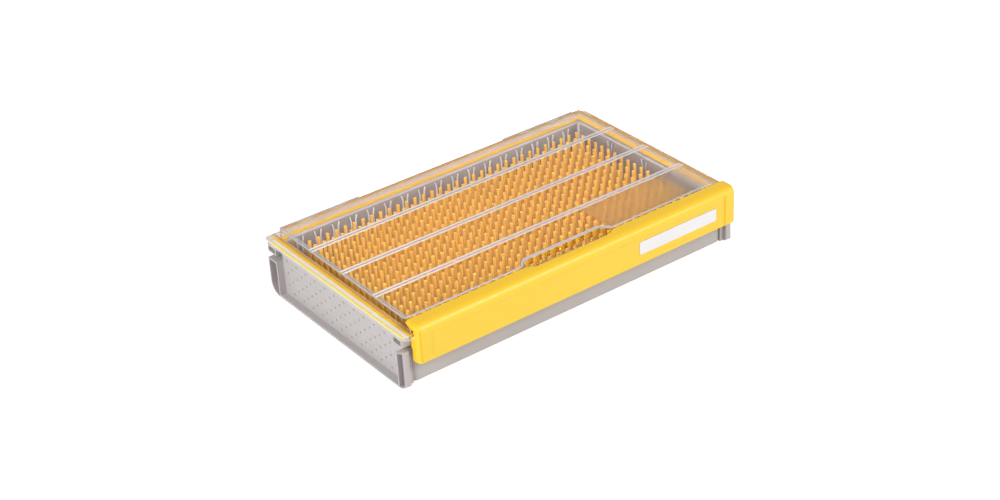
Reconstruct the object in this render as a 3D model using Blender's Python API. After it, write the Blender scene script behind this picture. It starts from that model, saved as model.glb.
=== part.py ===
# Flat fishing tackle box with a peg mat, a clear hinged lid and a rocker latch.
# Metres, +Z up, +X to the right, front towards -Y, origin under the tray's centre.

import math

import bmesh
import bpy
from mathutils import Matrix, Vector

# Tray
TRAY_LENGTH = 0.361
TRAY_DEPTH = 0.213
TRAY_HEIGHT = 0.050
TRAY_WALL = 0.0028
TRAY_FLOOR = 0.0025
TRAY_CORNER = 0.006
TRAY_EDGE = 0.0012
RIM_THICKNESS = 0.0025
RIM_REACH_ENDS = 0.0065
RIM_REACH_SIDES = 0.0025

# End frames: a foot ledge between two hollow corner posts
FRAME_REACH = 0.0130
LEDGE_THICKNESS = 0.0025
POST_TOP_GAP = 0.0122
POST_WIDTH = 0.0150
POST_FRONT_WIDTH = 0.0072
POST_FRONT_DROP = 0.0010
POST_FRONT_WALL = 0.0009
POST_WALL = 0.0016
POST_FRONT_STEP = 0.0035
POST_FRONT_INSET = 0.0038
POST_CORNER = 0.005
POST_FRONT_ROUND = 0.0022
POST_BACK_ROUND = 0.012
TAB_WIDTH = 0.0138
TAB_HEIGHT = 0.0090
TAB_REACH = 0.0098
TAB_WALL = 0.0016
TAB_BACK_STEP = 0.0060
END_PANEL_REACH = 0.0062
END_PANEL_WALL = 0.0020

# Divider guides moulded on the tray's inner walls
GUIDE_PITCH_SIDES = 0.020
GUIDE_PITCH_ENDS = 0.0525
GUIDE_GAP = 0.0042
GUIDE_WIDTH = 0.0010
GUIDE_REACH = 0.0018
GUIDE_FLARE = 0.0012
GUIDE_FLARE_HEIGHT = 0.005
GUIDE_TOP_MARGIN = 0.004
GUIDE_END_MARGIN = 0.016
GUIDE_CORNER_MARGIN = 0.040

# Peg mat
MAT_THICKNESS = 0.0020
PEG_PITCH = 0.010
PEG_WIDTH = 0.0030
PEG_TAPER = 0.85
PEG_RISE = 0.0009
PEG_MARGIN = 0.017

# Rim seal
SEAL_WIDTH = 0.0030
SEAL_WIDTH_ENDS = 0.0060
SEAL_HEIGHT = 0.0027
SEAL_INSET = 0.0004
SEAL_CORNER = 0.003

# Lid
LID_WALL = 0.0022
LID_FLANGE = 0.0020
LID_RISE = 0.0082
LID_INSET_ENDS = 0.0005
LID_INSET_FRONT = 0.0062
LID_INSET_BACK = 0.0015
LID_CORNER = 0.003
LID_EDGE = 0.0012
FLANGE_REACH_ENDS = 0.0120
FLANGE_BACK_LAP = 0.0012
FLANGE_LATCH_GAP = 0.00205
FLANGE_CORNER = 0.0062
WING_REACH = 0.0080
WING_CORNER = 0.0040
SKIRT_DROP = 0.0023
SKIRT_WALL = 0.0016
NOTCH_WIDTH = 0.102
NOTCH_SLOPE = 0.009
NOTCH_DEPTH = 0.008
LID_RIB_PITCH = 0.0516
LID_RIB_SHIFT = 0.0030
LID_RIB_GAP = 0.0047
LID_RIB_WIDTH = 0.0014
LID_RIB_HEIGHT = 0.0007
LID_RIB_ROWS = 3

# Hinge at the back
HINGE_CLEARANCE = 0.0016
HINGE_RISE = 0.0011
BARREL_RADIUS = 0.0036
HINGE_PIN_RADIUS = 0.0015
TRAY_KNUCKLE = 0.015
LID_KNUCKLE = 0.020
TRAY_KNUCKLES = 3
HINGE_END_MARGIN = 0.0495
BRACKET_DROP = 0.012

# Rocker latch on the lid's front
LATCH_INSET_ENDS = 0.0045
LATCH_LEFT_STEP = 0.0065
LATCH_REACH = 0.01395
LATCH_TOP_STEP = 0.0002
LATCH_HEIGHT = 0.0373
LATCH_WALL = 0.0024
LATCH_CAP_WALL = 0.0056
LATCH_ROUND = 0.008
LATCH_END_ROUND = 0.005
LATCH_END_CROWN = 0.0018
LATCH_REAR_GAP = 0.0025
LATCH_NOTCH_DEPTH = 0.005
LATCH_RAIL = 0.0055
LATCH_RAIL_HEIGHT = 0.003
LATCH_RAIL_LENGTH = 0.300
PIVOT_BEHIND_FRONT = 0.00835
PIVOT_RISE = 0.0008
LATCH_PIN_RADIUS = 0.0012
EAR_RADIUS = 0.0034
EAR_WIDTH = 0.005

# Shallow panel in the latch's front, with the label in it
PANEL_DEPTH = 0.0003
PANEL_MARGIN_ENDS = 0.0146
PANEL_MARGIN_BOTTOM = 0.0040
PANEL_HEIGHT = 0.0235
PANEL_ROUND = 0.0020
LABEL_LENGTH = 0.0945
LABEL_HEIGHT = 0.0131
LABEL_THICKNESS = 0.0006
LABEL_PROUD = 0.0002
LABEL_END_MARGIN = 0.0255
LABEL_RISE = 0.0165
LABEL_ROUND = 0.0015

# Fits
FIT = 0.0003
RUNNING_GAP = 0.0005
BITE = 0.0004

# Facets
CORNER_STEPS = 4
ROUND_STEPS = 5
BARREL_STEPS = 8
BORE_STEPS = 10

# Values that follow from the sizes above
TRAY_HALF_X = TRAY_LENGTH / 2
TRAY_HALF_Y = TRAY_DEPTH / 2
INNER_HALF_X = TRAY_HALF_X - TRAY_WALL
INNER_HALF_Y = TRAY_HALF_Y - TRAY_WALL
INNER_CORNER = max(TRAY_CORNER - TRAY_WALL, 0.001)
FRAME_X = TRAY_HALF_X + FRAME_REACH
POST_HEIGHT = TRAY_HEIGHT - POST_TOP_GAP
POST_FRONT = TRAY_HALF_Y + POST_FRONT_STEP
POST_FRONT_HEIGHT = POST_HEIGHT - POST_FRONT_DROP
RIM_BOTTOM = TRAY_HEIGHT - RIM_THICKNESS
MAT_TOP = TRAY_FLOOR + FIT + MAT_THICKNESS
PEG_LENGTH = TRAY_HEIGHT + PEG_RISE - MAT_TOP
SEAL_BOTTOM = TRAY_HEIGHT + FIT
SEAL_TOP = SEAL_BOTTOM + SEAL_HEIGHT
FLANGE_BOTTOM = SEAL_TOP + FIT
FLANGE_TOP = FLANGE_BOTTOM + LID_FLANGE
LID_TOP = FLANGE_TOP + LID_RISE
LID_LENGTH = TRAY_LENGTH - 2 * LID_INSET_ENDS
LID_HALF_X = LID_LENGTH / 2
LID_FRONT = TRAY_HALF_Y - LID_INSET_FRONT
LID_BACK = TRAY_HALF_Y - LID_INSET_BACK
FLANGE_LENGTH = LID_LENGTH + 2 * FLANGE_REACH_ENDS
FLANGE_HALF_X = FLANGE_LENGTH / 2
LATCH_FRONT = TRAY_HALF_Y + LATCH_REACH
LATCH_LENGTH = FLANGE_LENGTH - 2 * LATCH_INSET_ENDS - LATCH_LEFT_STEP
LATCH_RIGHT = FLANGE_HALF_X - LATCH_INSET_ENDS
LATCH_LEFT = LATCH_RIGHT - LATCH_LENGTH
LATCH_TOP = LID_TOP - LATCH_TOP_STEP
LATCH_BOTTOM = LATCH_TOP - LATCH_HEIGHT
LATCH_REAR = LID_FRONT + LATCH_REAR_GAP
LATCH_CAP_DEPTH = LATCH_REACH - RIM_REACH_SIDES - RUNNING_GAP
LATCH_CAP_REAR = LATCH_FRONT - LATCH_CAP_DEPTH
FLANGE_FRONT = LATCH_FRONT - LATCH_WALL - FLANGE_LATCH_GAP
FLANGE_BACK = LID_BACK + FLANGE_BACK_LAP
WING_BACK = LID_BACK + WING_REACH
HINGE_SETBACK = BARREL_RADIUS + HINGE_CLEARANCE
HINGE_Y = LID_BACK + HINGE_SETBACK
HINGE_HEIGHT = FLANGE_TOP + HINGE_RISE
HINGE_CENTRE = TRAY_HALF_X - HINGE_END_MARGIN
PIVOT_Y = -LATCH_FRONT + PIVOT_BEHIND_FRONT
PIVOT_HEIGHT = FLANGE_TOP + PIVOT_RISE
LABEL_CENTRE = LATCH_RIGHT - LABEL_END_MARGIN - LABEL_LENGTH / 2
LABEL_MIDDLE_HEIGHT = LATCH_BOTTOM + LABEL_RISE
PANEL_FACE = -LATCH_FRONT + PANEL_DEPTH
HINGE_AXIS = Vector((0.0, HINGE_Y, HINGE_HEIGHT))
LATCH_AXIS = Vector((0.0, PIVOT_Y, PIVOT_HEIGHT))
LATCH_ENDS = ((-1, LATCH_LEFT), (1, LATCH_RIGHT))


def clear_scene():
    for old in list(bpy.data.objects):
        bpy.data.objects.remove(old, do_unlink=True)


def make_material(name, colour, roughness, metallic=0.0, transmission=0.0):
    material = bpy.data.materials.new(name)
    material.use_nodes = True
    shader = material.node_tree.nodes["Principled BSDF"]
    shader.inputs["Base Color"].default_value = (*colour, 1.0)
    shader.inputs["Roughness"].default_value = roughness
    shader.inputs["Metallic"].default_value = metallic
    shader.inputs["Transmission Weight"].default_value = transmission
    return material


def make_object(name, builder, material=None, pivot=None, origin=None):
    bmesh.ops.recalc_face_normals(builder, faces=builder.faces[:])
    mesh = bpy.data.meshes.new(name)
    builder.to_mesh(mesh)
    builder.free()
    piece = bpy.data.objects.new(name, mesh)
    bpy.context.scene.collection.objects.link(piece)
    mesh.shade_smooth()
    mesh.set_sharp_from_angle(angle=math.radians(35.0))
    if material:
        mesh.materials.append(material)
    if pivot:
        mesh.transform(Matrix.Translation(-origin))
        piece.parent = pivot
    return piece


def make_tool(name, builder):
    tool = make_object(name, builder)
    tool.hide_render = True
    tool.display_type = "WIRE"
    return tool


def combine(piece, tool, operation):
    modifier = piece.modifiers.new(tool.name, "BOOLEAN")
    modifier.operation = operation
    modifier.solver = "EXACT"
    modifier.object = tool


def arc(centre, radius, start, end, steps):
    angles = [start + (end - start) * step / steps for step in range(steps + 1)]
    return [
        (
            centre[0] + radius * math.cos(math.radians(angle)),
            centre[1] + radius * math.sin(math.radians(angle)),
        )
        for angle in angles
    ]


def box_outline(low, high):
    return [(low[0], low[1]), (high[0], low[1]), (high[0], high[1]), (low[0], high[1])]


def round_outline(half_x, front, back, radius, notch_depth=0.0, notch_inset=0.0):
    """A rounded rectangle seen from above, with the finger notch's four points in its front edge."""
    half_outer = NOTCH_WIDTH / 2 + notch_inset
    half_inner = half_outer - NOTCH_SLOPE
    edge = -front
    outline = [
        (-half_outer, edge),
        (-half_inner, edge + notch_depth),
        (half_inner, edge + notch_depth),
        (half_outer, edge),
    ]
    outline += arc((half_x - radius, edge + radius), radius, -90, 0, CORNER_STEPS)
    outline += arc((half_x - radius, back - radius), radius, 0, 90, CORNER_STEPS)
    outline += arc((-half_x + radius, back - radius), radius, 90, 180, CORNER_STEPS)
    outline += arc((-half_x + radius, edge + radius), radius, 180, 270, CORNER_STEPS)
    return outline


def add_loft(builder, loops, ring=False):
    """Bridge a row of level outlines, each with its height, into one closed skin."""
    rows = [[builder.verts.new((x, y, height)) for x, y in outline] for outline, height in loops]
    bridge(builder, rows, ring)


def bridge(builder, rows, ring=False):
    """Join rows of points with faces, and cap the first and last unless the rows close on themselves."""
    pairs = list(zip(rows, rows[1:]))
    if ring:
        pairs.append((rows[-1], rows[0]))
    for lower, upper in pairs:
        for index in range(len(lower)):
            following = (index + 1) % len(lower)
            builder.faces.new((lower[index], lower[following], upper[following], upper[index]))
    if not ring:
        builder.faces.new(rows[0][::-1])
        builder.faces.new(rows[-1])


def add_prism(builder, outline, axis, start, end):
    """Extrude an outline along one axis; the outline holds the other two axes in order."""

    def point(pair, along):
        values = list(pair)
        values.insert(axis, along)
        return values

    first = [builder.verts.new(point(pair, start)) for pair in outline]
    face = builder.faces.new(first)
    grown = bmesh.ops.extrude_face_region(builder, geom=[face], use_keep_orig=True)
    moved = [item for item in grown["geom"] if isinstance(item, bmesh.types.BMVert)]
    step = [0.0, 0.0, 0.0]
    step[axis] = end - start
    bmesh.ops.translate(builder, verts=moved, vec=step)


def add_box(builder, low, high):
    add_prism(builder, box_outline(low[:2], high[:2]), 2, low[2], high[2])


def add_rod(builder, centre, radius, start, end, steps=BORE_STEPS):
    outline = arc(centre, radius, 0, 360 - 360 / steps, steps - 1)
    add_prism(builder, outline, 0, start, end)


def make_pivot(name, place, parent=None):
    pivot = bpy.data.objects.new(name, None)
    bpy.context.scene.collection.objects.link(pivot)
    pivot.parent = parent
    pivot.location = place
    return pivot


def make_tray(material):
    """The grey tray: a lofted shell with a rim, end frames, guides, a latch rail and hinge brackets."""
    builder = bmesh.new()

    def level(grow_x, grow_y, corner):
        half_y = TRAY_HALF_Y + grow_y
        return round_outline(TRAY_HALF_X + grow_x, half_y, half_y, corner)

    rim_outline = level(RIM_REACH_ENDS, RIM_REACH_SIDES, TRAY_CORNER)
    inner_outline = round_outline(INNER_HALF_X, INNER_HALF_Y, INNER_HALF_Y, INNER_CORNER)
    add_loft(builder, [
        (level(-TRAY_EDGE, -TRAY_EDGE, TRAY_CORNER), 0.0),
        (level(0.0, 0.0, TRAY_CORNER), TRAY_EDGE),
        (level(0.0, 0.0, TRAY_CORNER), RIM_BOTTOM),
        (rim_outline, RIM_BOTTOM),
        (rim_outline, TRAY_HEIGHT),
        (inner_outline, TRAY_HEIGHT),
        (inner_outline, TRAY_FLOOR),
    ])
    tray = make_object("base_tray", builder, material)
    combine(tray, make_tool("end_frame_tool", end_frames()), "UNION")
    combine(tray, make_tool("post_pocket_tool", post_pockets()), "DIFFERENCE")
    combine(tray, make_tool("post_corner_tool", post_corners()), "DIFFERENCE")
    combine(tray, make_tool("end_panel_tool", end_panels()), "UNION")
    combine(tray, make_tool("end_hollow_tool", end_hollows()), "DIFFERENCE")
    combine(tray, make_tool("corner_tab_tool", corner_tabs()), "UNION")
    combine(tray, make_tool("tab_slot_tool", tab_slots()), "DIFFERENCE")
    combine(tray, make_tool("guide_tool", divider_guides()), "UNION")
    combine(tray, make_tool("rail_tool", latch_rail()), "UNION")
    combine(tray, make_tool("tray_knuckle_tool", tray_knuckles()), "UNION")
    combine(tray, make_tool("tray_bore_tool", hinge_bores()), "DIFFERENCE")
    return tray


def post_spans():
    """Where the two posts of an end frame start and stop, front to back."""
    front = (-POST_FRONT, -POST_FRONT + POST_FRONT_WIDTH)
    back = (TRAY_HALF_Y - POST_WIDTH, TRAY_HALF_Y)
    return front, back


def end_frames():
    """Both end frames: a U of two posts and a ledge, extruded outwards from the tray's ends."""
    builder = bmesh.new()
    (front, front_inner), (back_inner, back) = post_spans()
    outline = arc((front + POST_FRONT_ROUND, POST_FRONT_ROUND), POST_FRONT_ROUND, 180, 270, CORNER_STEPS)
    outline += arc((back - POST_BACK_ROUND, POST_BACK_ROUND), POST_BACK_ROUND, 270, 360, ROUND_STEPS)
    outline += [
        (back, POST_HEIGHT),
        (back_inner, POST_HEIGHT),
        (back_inner, LEDGE_THICKNESS),
        (front_inner, LEDGE_THICKNESS),
        (front_inner, POST_FRONT_HEIGHT),
        (front, POST_FRONT_HEIGHT),
    ]
    for side in (-1, 1):
        add_prism(builder, outline, 0, side * (TRAY_HALF_X - BITE), side * FRAME_X)
    return builder


def post_pockets():
    """The hollow of each corner post, open outwards."""
    builder = bmesh.new()
    (front, front_inner), (back_inner, back) = post_spans()
    front_round = POST_FRONT_ROUND - POST_FRONT_WALL
    back_round = POST_BACK_ROUND - POST_WALL
    top = POST_HEIGHT - POST_WALL
    front_top = POST_FRONT_HEIGHT - POST_FRONT_WALL
    front_outline = arc(
        (front + POST_FRONT_WALL + front_round, POST_WALL + front_round), front_round, 180, 270, CORNER_STEPS // 2
    )
    front_outline += [
        (front_inner - POST_WALL, POST_WALL),
        (front_inner - POST_WALL, front_top),
        (front + POST_FRONT_WALL, front_top),
    ]
    back_outline = arc(
        (back - POST_WALL - back_round, POST_WALL + back_round), back_round, 270, 360, ROUND_STEPS
    )
    back_outline += [
        (back - POST_WALL, top),
        (back_inner + POST_WALL, top),
        (back_inner + POST_WALL, POST_WALL),
    ]
    for side in (-1, 1):
        for outline, inset in ((front_outline, POST_FRONT_INSET), (back_outline, 0.0)):
            inner = side * (TRAY_HALF_X + inset + POST_WALL)
            add_prism(builder, outline, 0, inner, side * (FRAME_X + POST_WALL))
    return builder


def post_corners():
    """Takes the round off each front post's outer edge, and the gap between it and the tray's front."""
    builder = bmesh.new()
    bottom = -POST_WALL
    top = POST_FRONT_HEIGHT + POST_WALL
    outer = FRAME_X + POST_WALL
    for side in (-1, 1):
        centre = (FRAME_X - POST_CORNER, -POST_FRONT + POST_CORNER)
        edge = arc(centre, POST_CORNER, -90, 0, CORNER_STEPS)
        edge += [(outer, centre[1]), (outer, -POST_FRONT - POST_WALL), (centre[0], -POST_FRONT - POST_WALL)]
        add_prism(builder, [(side * x, y) for x, y in edge], 2, bottom, top)
        near = side * (TRAY_HALF_X - TRAY_CORNER)
        far = side * (TRAY_HALF_X + POST_FRONT_INSET)
        low = (min(near, far), -POST_FRONT - POST_WALL, bottom)
        add_box(builder, low, (max(near, far), -TRAY_HALF_Y, top))
    return builder


def end_panels():
    """The outer skin of each end wall, between the posts."""
    builder = bmesh.new()
    (front, front_inner), (back_inner, back) = post_spans()
    for side in (-1, 1):
        near = side * (TRAY_HALF_X - BITE)
        far = side * (TRAY_HALF_X + END_PANEL_REACH)
        low = (min(near, far), front_inner - BITE, 0.0)
        add_box(builder, low, (max(near, far), back_inner + BITE, RIM_BOTTOM + BITE))
    return builder


def end_hollows():
    """The hollow behind each end panel, open downwards."""
    builder = bmesh.new()
    (front, front_inner), (back_inner, back) = post_spans()
    for side in (-1, 1):
        near = side * (TRAY_HALF_X + BITE)
        far = side * (TRAY_HALF_X + END_PANEL_REACH - END_PANEL_WALL)
        low = (min(near, far), front_inner + POST_WALL, -POST_WALL)
        add_box(builder, low, (max(near, far), back_inner - POST_WALL, RIM_BOTTOM - POST_WALL))
    return builder


def tab_spans():
    """Where the corner tabs start and stop, front to back."""
    front = -POST_FRONT + TAB_WALL
    back = TRAY_HALF_Y + TAB_BACK_STEP - TAB_WALL
    return (front, front + TAB_WIDTH), (back - TAB_WIDTH, back)


def corner_tabs():
    """The short tab that stands out under the lid's corner above each post."""
    builder = bmesh.new()
    for side in (-1, 1):
        for start, end in tab_spans():
            low = min(side * (TRAY_HALF_X - BITE), side * (TRAY_HALF_X + TAB_REACH))
            high = max(side * (TRAY_HALF_X - BITE), side * (TRAY_HALF_X + TAB_REACH))
            add_box(
                builder,
                (low, start, TRAY_HEIGHT - TAB_HEIGHT),
                (high, end, TRAY_HEIGHT),
            )
    return builder


def tab_slots():
    """The slot in each corner tab, open outwards."""
    builder = bmesh.new()
    for side in (-1, 1):
        for start, end in tab_spans():
            inner = side * (TRAY_HALF_X + TAB_WALL)
            outer = side * (TRAY_HALF_X + TAB_REACH + TAB_WALL)
            add_box(
                builder,
                (min(inner, outer), start + TAB_WALL, TRAY_HEIGHT - TAB_HEIGHT + TAB_WALL),
                (max(inner, outer), end - TAB_WALL, TRAY_HEIGHT - RIM_THICKNESS),
            )
    return builder


def guide_places(half_length, pitch, margin):
    """Centres of the guide pairs, spread evenly either side of the wall's middle."""
    count = int((half_length - margin) * 2 / pitch) + 1
    return [(index - (count - 1) / 2) * pitch for index in range(count)]


def guide_outline(centre, lean):
    """One thin upright rib of a pair; its top flares away from its partner."""
    bottom = MAT_TOP + FIT
    top = TRAY_HEIGHT - GUIDE_TOP_MARGIN
    near = centre + lean * GUIDE_GAP / 2
    far = near + lean * GUIDE_WIDTH
    return [
        (near, bottom),
        (far, bottom),
        (far, top - GUIDE_FLARE_HEIGHT),
        (far + lean * GUIDE_FLARE, top),
        (near + lean * GUIDE_FLARE, top),
        (near, top - GUIDE_FLARE_HEIGHT),
    ]


def divider_guides():
    """Pairs of upright ribs along all four inner walls."""
    builder = bmesh.new()
    for side in (-1, 1):
        wall = side * (INNER_HALF_Y + BITE)
        tip = side * (INNER_HALF_Y - GUIDE_REACH)
        for centre in guide_places(INNER_HALF_X, GUIDE_PITCH_SIDES, GUIDE_END_MARGIN):
            for lean in (-1, 1):
                add_prism(builder, guide_outline(centre, lean), 1, wall, tip)
        wall = side * (INNER_HALF_X + BITE)
        tip = side * (INNER_HALF_X - GUIDE_REACH)
        for centre in guide_places(INNER_HALF_Y, GUIDE_PITCH_ENDS, GUIDE_CORNER_MARGIN):
            for lean in (-1, 1):
                add_prism(builder, guide_outline(centre, lean), 0, wall, tip)
    return builder


def latch_rail():
    """The rail on the front wall that the latch's lip sits under."""
    builder = bmesh.new()
    bottom = LATCH_BOTTOM + LATCH_WALL + RUNNING_GAP
    front = -TRAY_HALF_Y - LATCH_RAIL
    outline = [
        (-TRAY_HALF_Y + BITE, bottom),
        (-TRAY_HALF_Y + BITE, bottom + LATCH_RAIL_HEIGHT + LATCH_RAIL),
        (front, bottom + LATCH_RAIL_HEIGHT),
        (front, bottom),
    ]
    add_prism(builder, outline, 0, -LATCH_RAIL_LENGTH / 2, LATCH_RAIL_LENGTH / 2)
    return builder


def knuckle_spans():
    """Spans along X of the tray's and the lid's hinge knuckles, for both hinge sections."""
    lid_count = TRAY_KNUCKLES - 1
    length = TRAY_KNUCKLES * TRAY_KNUCKLE + lid_count * LID_KNUCKLE + 2 * lid_count * RUNNING_GAP
    tray_spans = []
    lid_spans = []
    for side in (-1, 1):
        place = side * HINGE_CENTRE - length / 2
        for index in range(TRAY_KNUCKLES):
            tray_spans.append((place, place + TRAY_KNUCKLE))
            place += TRAY_KNUCKLE + RUNNING_GAP
            if index < lid_count:
                lid_spans.append((place, place + LID_KNUCKLE))
                place += LID_KNUCKLE + RUNNING_GAP
    return tray_spans, lid_spans, length


def tray_knuckles():
    """Hinge brackets on the tray's back wall, each ending in a round knuckle."""
    builder = bmesh.new()
    bracket_front = INNER_HALF_Y + SEAL_INSET + SEAL_WIDTH + FIT
    lean = math.degrees(math.acos((HINGE_Y - bracket_front) / BARREL_RADIUS))
    outline = [
        (TRAY_HALF_Y - BITE, TRAY_HEIGHT - BITE),
        (bracket_front, TRAY_HEIGHT - BITE),
    ]
    outline += arc((HINGE_Y, HINGE_HEIGHT), BARREL_RADIUS, 180 + lean, 0, BARREL_STEPS)
    outline += [
        (HINGE_Y + BARREL_RADIUS, TRAY_HEIGHT),
        (TRAY_HALF_Y - BITE, TRAY_HEIGHT - BRACKET_DROP),
    ]
    for start, end in knuckle_spans()[0]:
        add_prism(builder, outline, 0, start, end)
    return builder


def hinge_bores():
    """A bore along each hinge section, a fit wider than its pin."""
    builder = bmesh.new()
    length = knuckle_spans()[2]
    for side in (-1, 1):
        start = side * HINGE_CENTRE - length / 2 - RUNNING_GAP
        end = side * HINGE_CENTRE + length / 2 + RUNNING_GAP
        add_rod(builder, (HINGE_Y, HINGE_HEIGHT), HINGE_PIN_RADIUS + FIT, start, end)
    return builder


def make_hinge_pins(material):
    length = knuckle_spans()[2]
    for name, side in (("hinge_pin_left", -1), ("hinge_pin_right", 1)):
        builder = bmesh.new()
        start = side * HINGE_CENTRE - length / 2
        add_rod(builder, (HINGE_Y, HINGE_HEIGHT), HINGE_PIN_RADIUS, start, start + length)
        make_object(name, builder, material)


def spread(length, margin):
    """Even places for as many pegs as fit between two margins."""
    count = int((length - 2 * margin) / PEG_PITCH + 0.001) + 1
    return [(index - (count - 1) / 2) * PEG_PITCH for index in range(count)]


def make_peg_mat(material):
    """One moulded mat: a plate with a field of slim tapered pegs drawn up out of it."""
    builder = bmesh.new()
    corner_relief = INNER_CORNER * (1 - math.sqrt(0.5)) + FIT
    half_x = INNER_HALF_X - corner_relief
    half_y = INNER_HALF_Y - corner_relief
    columns = spread(2 * INNER_HALF_X, PEG_MARGIN)
    rows = spread(2 * INNER_HALF_Y, PEG_MARGIN)

    def peg_edges(places):
        return [place + shift for place in places for shift in (-PEG_WIDTH / 2, PEG_WIDTH / 2)]

    lines_x = peg_edges(columns)
    lines_y = peg_edges(rows)
    grid = [[builder.verts.new((x, y, MAT_TOP)) for x in lines_x] for y in lines_y]
    peg_faces = []
    for row in range(len(lines_y) - 1):
        for column in range(len(lines_x) - 1):
            face = builder.faces.new((
                grid[row][column],
                grid[row][column + 1],
                grid[row + 1][column + 1],
                grid[row + 1][column],
            ))
            if row % 2 == 0 and column % 2 == 0:
                peg_faces.append(face)
    corners = [
        builder.verts.new((x, y, MAT_TOP)) for x, y in box_outline((-half_x, -half_y), (half_x, half_y))
    ]
    grid_sides = [grid[0], [row[-1] for row in grid], grid[-1][::-1], [row[0] for row in grid[::-1]]]
    for index, grid_side in enumerate(grid_sides):
        builder.faces.new((corners[index], corners[(index + 1) % 4], *grid_side[::-1]))
    border = [edge for edge in builder.edges if edge.is_boundary]
    grown = bmesh.ops.extrude_edge_only(builder, edges=border)
    low_ring = [item for item in grown["geom"] if isinstance(item, bmesh.types.BMVert)]
    bmesh.ops.translate(builder, verts=low_ring, vec=(0, 0, -MAT_THICKNESS))
    low_edges = [edge for edge in builder.edges if edge.is_boundary]
    bmesh.ops.contextual_create(builder, geom=low_edges)
    pegs = bmesh.ops.extrude_discrete_faces(builder, faces=peg_faces)["faces"]
    for face in pegs:
        middle = face.calc_center_median()
        for vertex in face.verts:
            vertex.co.x = middle.x + (vertex.co.x - middle.x) * PEG_TAPER
            vertex.co.y = middle.y + (vertex.co.y - middle.y) * PEG_TAPER
            vertex.co.z += PEG_LENGTH
    make_object("peg_mat", builder, material)


def make_rim_seal(material):
    """The yellow seal bead that lies on the tray's rim."""
    builder = bmesh.new()

    def level(grow, shift=0.0):
        half_x = INNER_HALF_X + SEAL_INSET + grow * SEAL_WIDTH_ENDS + shift
        half_y = INNER_HALF_Y + SEAL_INSET + grow * SEAL_WIDTH + shift
        return round_outline(half_x, half_y, half_y, SEAL_CORNER + grow * SEAL_WIDTH + shift)

    shoulder = SEAL_WIDTH / 4
    add_loft(builder, [
        (level(0), SEAL_BOTTOM),
        (level(1), SEAL_BOTTOM),
        (level(1), SEAL_TOP - shoulder),
        (level(1, -shoulder), SEAL_TOP),
        (level(0, shoulder), SEAL_TOP),
        (level(0), SEAL_TOP - shoulder),
    ], ring=True)
    make_object("rim_seal", builder, material)


def make_lid(material, pivot):
    """The clear lid: a raised plateau with a notched front, a flange and a skirt over the rim."""
    builder = bmesh.new()
    skirt_bottom = FLANGE_BOTTOM - SKIRT_DROP

    def plateau(shrink):
        corner = max(LID_CORNER - shrink, 0.001)
        return round_outline(
            LID_HALF_X - shrink, LID_FRONT - shrink, LID_BACK - shrink, corner, NOTCH_DEPTH, shrink
        )

    def flange(shrink):
        corner = max(FLANGE_CORNER - shrink, 0.001)
        return round_outline(FLANGE_HALF_X - shrink, FLANGE_FRONT - shrink, FLANGE_BACK - shrink, corner)

    add_loft(builder, [
        (plateau(LID_EDGE), LID_TOP),
        (plateau(0.0), LID_TOP - LID_EDGE),
        (plateau(0.0), FLANGE_TOP),
        (flange(0.0), FLANGE_TOP),
        (flange(0.0), skirt_bottom),
        (flange(SKIRT_WALL), skirt_bottom),
        (flange(SKIRT_WALL), FLANGE_BOTTOM),
        (plateau(LID_WALL), FLANGE_BOTTOM),
        (plateau(LID_WALL), LID_TOP - LID_WALL),
    ])
    lid = make_object("lid", builder, material, pivot, HINGE_AXIS)
    combine(lid, make_tool("skirt_relief_tool", skirt_relief(skirt_bottom)), "DIFFERENCE")
    combine(lid, make_tool("wing_tool", flange_wings()), "UNION")
    combine(lid, make_tool("lid_rib_tool", lid_ribs()), "UNION")
    combine(lid, make_tool("lid_knuckle_tool", lid_knuckles()), "UNION")
    combine(lid, make_tool("lid_bore_tool", hinge_bores()), "DIFFERENCE")
    combine(lid, make_tool("ear_tool", latch_ears()), "UNION")
    combine(lid, make_tool("ear_bore_tool", latch_bores()), "DIFFERENCE")
    return lid


def skirt_relief(skirt_bottom):
    """No skirt along the back, and slots in the flange where the latch's end caps hang."""
    builder = bmesh.new()
    low = skirt_bottom - LID_WALL
    back_start = INNER_HALF_Y - LID_WALL
    clear_x = FLANGE_HALF_X + LID_WALL
    add_box(builder, (-clear_x, back_start, low), (clear_x, FLANGE_BACK + LID_WALL, FLANGE_BOTTOM))
    front = -FLANGE_FRONT - LID_WALL
    rear = -LATCH_CAP_REAR + LID_WALL
    for side, latch_end in LATCH_ENDS:
        near = ear_outer(side, latch_end)
        far = latch_end + side * RUNNING_GAP
        add_box(builder, (min(near, far), front, low), (max(near, far), rear, FLANGE_TOP + LID_WALL))
    return builder


def flange_wings():
    """The flange's back corners, which reach out behind the lid beside the hinge."""
    builder = bmesh.new()
    inner = HINGE_CENTRE + knuckle_spans()[2] / 2 + 2 * RUNNING_GAP
    root = LID_BACK - LID_WALL / 2
    side_root = LID_HALF_X - LID_WALL / 2
    front = LID_BACK - FLANGE_CORNER
    outline = [(inner, root), (side_root, root), (side_root, front), (FLANGE_HALF_X, front)]
    centre = (FLANGE_HALF_X - WING_CORNER, WING_BACK - WING_CORNER)
    outline += arc(centre, WING_CORNER, 0, 90, CORNER_STEPS)
    outline.append((inner, WING_BACK))
    for side in (-1, 1):
        add_prism(builder, [(side * x, y) for x, y in outline], 2, FLANGE_BOTTOM, FLANGE_TOP)
    return builder


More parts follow.
